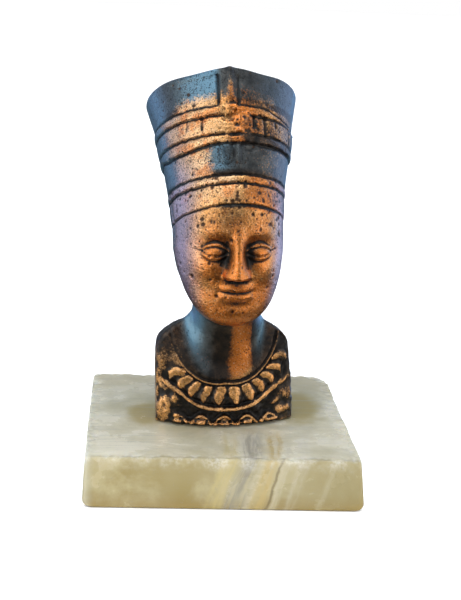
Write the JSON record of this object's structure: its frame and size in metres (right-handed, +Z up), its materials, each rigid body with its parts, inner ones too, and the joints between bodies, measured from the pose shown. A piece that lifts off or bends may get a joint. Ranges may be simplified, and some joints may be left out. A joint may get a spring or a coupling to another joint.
{
  "type": "queen bust on a stone plinth",
  "caption": "Small cast bust of a queen in a tall flat-topped crown with a petal collar, copper finish, on a rectangular slab of pale onyx.",
  "frame": {"origin": "on the plinth's underside, at the middle of its nominal width and depth", "axes": "+Z up, +X to the right of someone facing the queen, -Y towards that viewer"},
  "size_m": [0.0627, 0.0584, 0.0941],
  "materials": {
    "onyx": "polished pale green-beige onyx with tan and white veins",
    "copper": "antiqued copper plating, bright on the high spots and blue-black in the recesses"
  },
  "bodies": {
    "root": {"onyx_plinth": "onyx", "queen_bust": "copper"}
  },
  "joints": []
}
